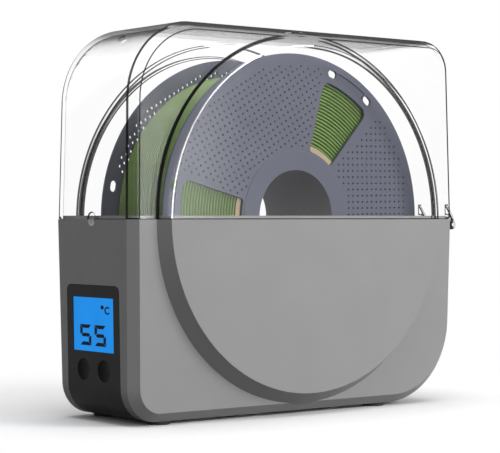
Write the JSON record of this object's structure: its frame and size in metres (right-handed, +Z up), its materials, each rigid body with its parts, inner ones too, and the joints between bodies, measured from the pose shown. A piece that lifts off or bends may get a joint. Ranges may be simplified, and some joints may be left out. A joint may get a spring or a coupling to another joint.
{
  "type": "filament dryer box",
  "caption": "Filament dryer box with a hinged clear cover, a grey base with a display panel and push buttons, and a filament spool that turns on rollers over a heater.",
  "frame": {"origin": "on the floor, under the middle of the whole box", "axes": "+X from the display end to the hinge end, +Y across the width, +Z up"},
  "size_m": [0.263, 0.0982, 0.2346],
  "materials": {
    "case_grey": "fine moulded texture, satin",
    "cover_clear": "polished clear",
    "panel_black": "satin black",
    "screen_blue": "lit blue display",
    "module_black": "matt",
    "button_black": "matt soft touch",
    "board_green": "solder mask",
    "steel": "bright zinc",
    "rubber_black": "matt",
    "inner_grey": "matt moulded",
    "socket_black": "matt",
    "heater_aluminium": "rolled sheet",
    "film_amber": "polyimide film",
    "roller_grey": "matt",
    "flange_grey": "satin moulded",
    "core_tan": "matt",
    "filament_green": "smooth extruded",
    "lead_black": "smooth sleeve"
  },
  "bodies": {
    "base": {"base_shell": "case_grey", "hinge_pin_front": "steel", "hinge_pin_rear": "steel", "foot_display_front": "rubber_black", "foot_display_rear": "rubber_black", "foot_hinge_front": "rubber_black", "foot_hinge_rear": "rubber_black", "control_panel": "panel_black", "screen_window": "screen_blue", "screen_module": "module_black", "control_board": "board_green", "board_screws": "steel", "button_switches": "module_black", "electronics_cap": "inner_grey", "power_socket": "socket_black", "socket_nut": "steel", "power_lead": "lead_black", "heater_lead": "lead_black", "inner_tray": "inner_grey", "tray_screws": "steel", "heater_plate": "heater_aluminium", "heater_film": "film_amber", "temperature_sensor": "module_black", "roller_bearings_display": "steel", "roller_bearings_hinge": "steel"},
    "lid": {"clear_cover": "cover_clear"},
    "spool": {"spool_flange_front": "flange_grey", "spool_flange_rear": "flange_grey", "spool_hub": "flange_grey", "spool_core": "core_tan", "filament_layers": "filament_green", "filament_outer_layer": "filament_green"},
    "roller_display": {"roller_shaft_display": "steel", "roller_wheels_display": "roller_grey"},
    "roller_hinge": {"roller_shaft_hinge": "steel", "roller_wheels_hinge": "roller_grey"},
    "button_left": {"button_left": "button_black"},
    "button_right": {"button_right": "button_black"}
  },
  "joints": [
    {"name": "lid_hinge", "type": "hinge", "parent": "base", "child": "lid", "pos_m": [0.12832, 0, 0.115], "axis": [0, 1, 0], "range_deg": [0, 110]},
    {"name": "spool_spin", "type": "hinge", "parent": "base", "child": "spool", "pos_m": [-0.00378, 0, 0.1201], "axis": [0, 1, 0], "continuous": true},
    {"name": "display_roller_spin", "type": "hinge", "parent": "base", "child": "roller_display", "pos_m": [-0.05788, 0, 0.0264], "axis": [0, 1, 0], "continuous": true},
    {"name": "hinge_roller_spin", "type": "hinge", "parent": "base", "child": "roller_hinge", "pos_m": [0.05033, 0, 0.0264], "axis": [0, 1, 0], "continuous": true},
    {"name": "left_button_press", "type": "slide", "parent": "base", "child": "button_left", "axis": [0.9998, 0, 0.0183], "range_m": [0, 0.0008], "stiffness_N_per_m": 300},
    {"name": "right_button_press", "type": "slide", "parent": "base", "child": "button_right", "axis": [0.9998, 0, 0.0183], "range_m": [0, 0.0008], "stiffness_N_per_m": 300}
  ],
  "couplings": [
    {"joint": "display_roller_spin", "follows": "spool_spin", "ratio": -12.5},
    {"joint": "hinge_roller_spin", "follows": "spool_spin", "ratio": -12.5}
  ]
}
